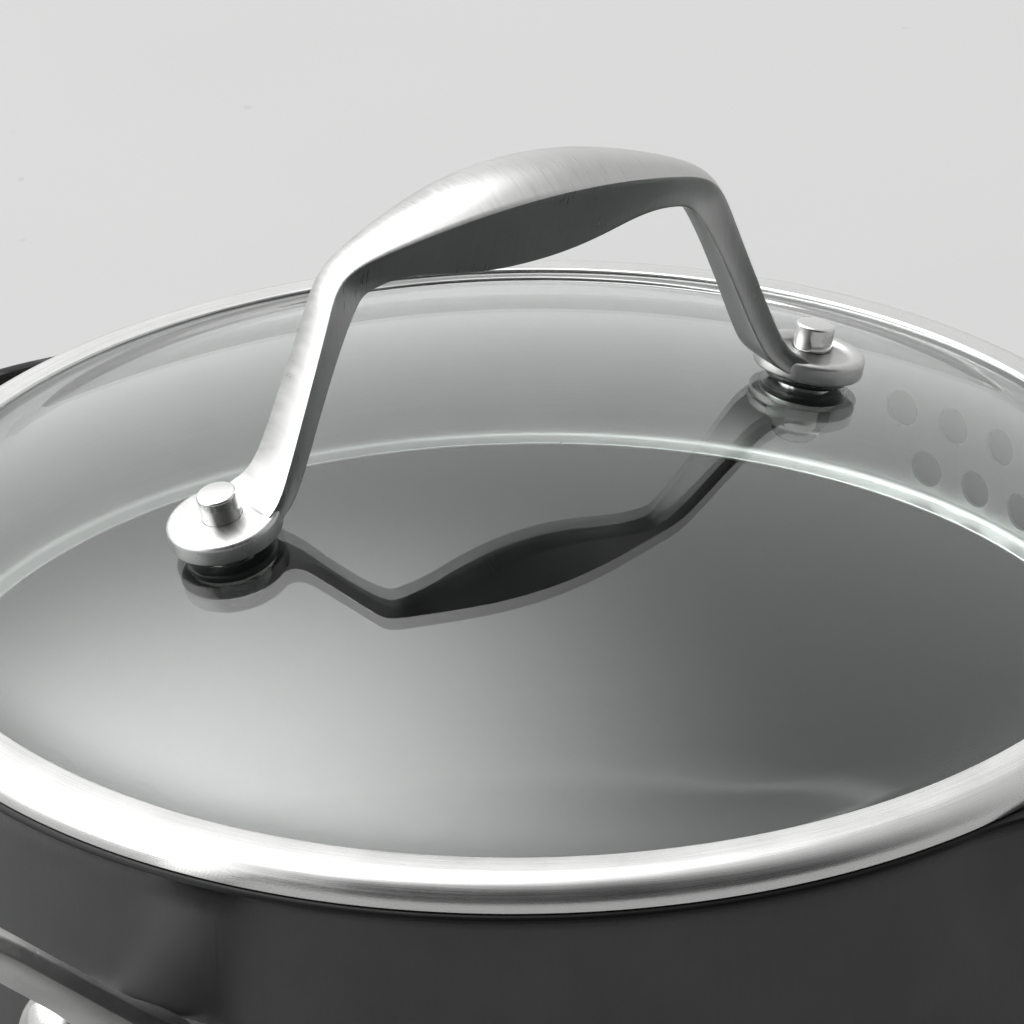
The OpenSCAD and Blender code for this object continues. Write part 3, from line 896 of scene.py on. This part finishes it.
def acorn_nut():
    """A hexagon with chamfered corners, a turned collar and a domed closed end."""
    hexagon = bmesh.new()
    bmesh.ops.create_cone(hexagon, segments=6, radius1=NUT_R, radius2=NUT_R, depth=HEX_H, cap_ends=True)
    nut = finish_mesh(hexagon, "hexagon")
    nut.transform(Matrix.Translation((0, 0, NUT_TOP - HEX_H / 2)))
    chamfer = rounded([(0, NUT_TOP - HEX_H, 0), (NUT_R + 0.02 * MM, NUT_TOP - HEX_H, 0.7 * MM),
                       (NUT_R + 0.02 * MM, NUT_TOP, 0.5 * MM), (0, NUT_TOP, 0)], 5)
    nut = combined(nut, [lathe("chamfer", chamfer, 96, closed=False)], "INTERSECT")
    dome_r = NUT_R * 0.8
    low = NUT_LOW + 0.02 * MM
    top = NUT_TOP - 1 * MM
    dome = rounded([(0, low, 0), (dome_r, low, 2.4 * MM), (dome_r, top, 0), (0, top, 0)], 12)
    nut = combined(nut, [lathe("dome", dome, 96, closed=False)], "UNION")
    thread = rod("thread", STUD_R + CLEAR, STUD_LOW - 0.5 * MM, NUT_TOP + 1 * MM)
    return combined(nut, [thread], "DIFFERENCE")


def fasteners():
    for where in FEET:
        corners = [(0, STUD_LOW, 0), (STUD_R, STUD_LOW, 0.4 * MM),
                   (STUD_R, STUD_TOP, 0.45 * MM), (0, STUD_TOP, 0)]
        stud = lathe("stud", rounded(corners, 6), 96, closed=False)
        foot_piece("polished_stud_" + where, where, stud, "stud_steel", ["handle_stud_" + where])
        hole = STUD_R + CLEAR
        clear = band("gloss_washer", hole, WASHER_R, 0.02 * MM, WASHER_T - 0.02 * MM, 0.7 * MM)
        foot_piece("gloss_washer_" + where, where, clear, "clear_washer", ["clear_washer_" + where])
        soft = band("soft_washer", hole, UNDER_R, UNDER_TOP - UNDER_T, UNDER_TOP, 0.35 * MM)
        foot_piece("soft_washer_" + where, where, soft, "silicone", ["under_washer_" + where])
        backing = band("flat_washer", hole, BACKING_R, BACKING_TOP - BACKING_T, BACKING_TOP, 0.2 * MM)
        foot_piece("flat_washer_" + where, where, backing, "washer_steel", ["backing_washer_" + where])
        foot_piece("acorn_nut_" + where, where, acorn_nut(), "nut_steel", ["cap_nut_" + where], 28)


def carried_over():
    """CAD nodes whose shape is right get the finished materials."""
    for name in ("glass_seal", "glass_bush_front", "glass_bush_back"):
        mesh = frame["nodes"][name].data
        mesh.materials.clear()
        mesh.materials.append(LOOKS["silicone"])


# ------------------------------------------------------------------- stage


def floor():
    size = 6
    bm = bmesh.new()
    bmesh.ops.create_grid(bm, x_segments=8, y_segments=8, size=size)
    mesh = bpy.data.meshes.new("floor")
    bm.to_mesh(mesh)
    bm.free()
    obj = temp_object(mesh)
    obj.name = "floor"
    mesh.materials.append(floor_look())


CAMERA_AZIMUTH = radians(122)
PHOTO_RIGHT = Vector((cos(CAMERA_AZIMUTH), sin(CAMERA_AZIMUTH), 0))
PHOTO_AWAY = Vector((-sin(CAMERA_AZIMUTH), cos(CAMERA_AZIMUTH), 0))


def camera():
    """The photograph's viewpoint, worked out from the lid's ridge circle and the two studs."""
    back, height = 818.27 * MM, 432.76 * MM
    yaw, pitch, roll = radians(-0.1445), radians(27.371), radians(-0.8525)
    forward = Vector((sin(yaw) * cos(pitch), cos(yaw) * cos(pitch), -sin(pitch)))
    right = Vector((cos(yaw), -sin(yaw), 0))
    up = right.cross(forward)
    level_right = right * cos(roll) + up * sin(roll)
    level_up = -right * sin(roll) + up * cos(roll)
    turn = Matrix((level_right, level_up, -forward)).transposed().to_4x4()
    data = bpy.data.cameras.new("camera")
    data.sensor_width = 36
    data.lens = 210.94
    data.clip_start = 0.05
    obj = bpy.data.objects.new("camera", data)
    bpy.context.scene.collection.objects.link(obj)
    place = Matrix.Translation((0, -back, LIP_Z + height)) @ turn
    obj.matrix_world = Matrix.Rotation(CAMERA_AZIMUTH, 4, "Z") @ place
    bpy.context.scene.camera = obj


def studio_light():
    """A soft surround, bright on the left and dark behind the camera, with two soft boxes."""
    world = bpy.data.worlds.new("studio")
    bpy.context.scene.world = world
    world.use_nodes = True
    tree = world.node_tree
    background = tree.nodes["Background"]
    direction = tree.nodes.new("ShaderNodeTexCoord").outputs["Generated"]

    def towards(vector):
        dot = tree.nodes.new("ShaderNodeVectorMath")
        dot.operation = "DOT_PRODUCT"
        tree.links.new(direction, dot.inputs[0])
        dot.inputs[1].default_value = vector.normalized()
        return dot.outputs["Value"]

    def ranged(value, start, end, low, high, kind="SMOOTHSTEP"):
        made = tree.nodes.new("ShaderNodeMapRange")
        made.interpolation_type = kind
        for name, number in (("From Min", start), ("From Max", end), ("To Min", low), ("To Max", high)):
            made.inputs[name].default_value = number
        tree.links.new(value, made.inputs["Value"])
        return made.outputs["Result"]

    def math(operation, a, b):
        made = tree.nodes.new("ShaderNodeMath")
        made.operation = operation
        for socket, value in zip(made.inputs, (a, b)):
            if isinstance(value, (int, float)):
                socket.default_value = value
            else:
                tree.links.new(value, socket)
        return made.outputs[0]

    def aimed(right, away, up):
        return PHOTO_RIGHT * right + PHOTO_AWAY * away + Vector((0, 0, up))

    # The room: brighter on the left, dark behind the camera
    sides = ranged(towards(PHOTO_RIGHT), -0.9, 0.7, 1.5, 0.85)
    room = math("MULTIPLY", sides, ranged(towards(-PHOTO_AWAY), -0.1, 0.75, 1, 0.07))
    # A big soft box high on the left behind the pan, fading smoothly outwards
    near_box = towards(aimed(-0.433, 0.25, 0.866))
    box = ranged(near_box, cos(radians(48)), cos(radians(5)), 0, 1, "LINEAR")
    cubed = math("MULTIPLY", math("MULTIPLY", box, box), box)
    box = math("MULTIPLY", cubed, 7)
    # A lower soft box at the left edge of the table
    side_box = ranged(towards(aimed(-0.95, -0.2, 0.22)), cos(radians(42)), cos(radians(10)), 0, 3)
    total = math("ADD", math("ADD", room, box), side_box)
    tree.links.new(total, background.inputs["Strength"])
    background.inputs["Color"].default_value = (1, 1, 1, 1)
    scene = bpy.context.scene
    scene.view_settings.view_transform = "Standard"
    scene.view_settings.look = "None"


camera()
studio_light()
floor()
pan_shell()
cast_handle()
for rivet_node in ("handle_rivet_left", "handle_rivet_right", "handle_rivet_lower"):
    rivet(rivet_node)
dome_glass()
ring_band()
skirt_band()
arched_handle()
fasteners()
carried_over()
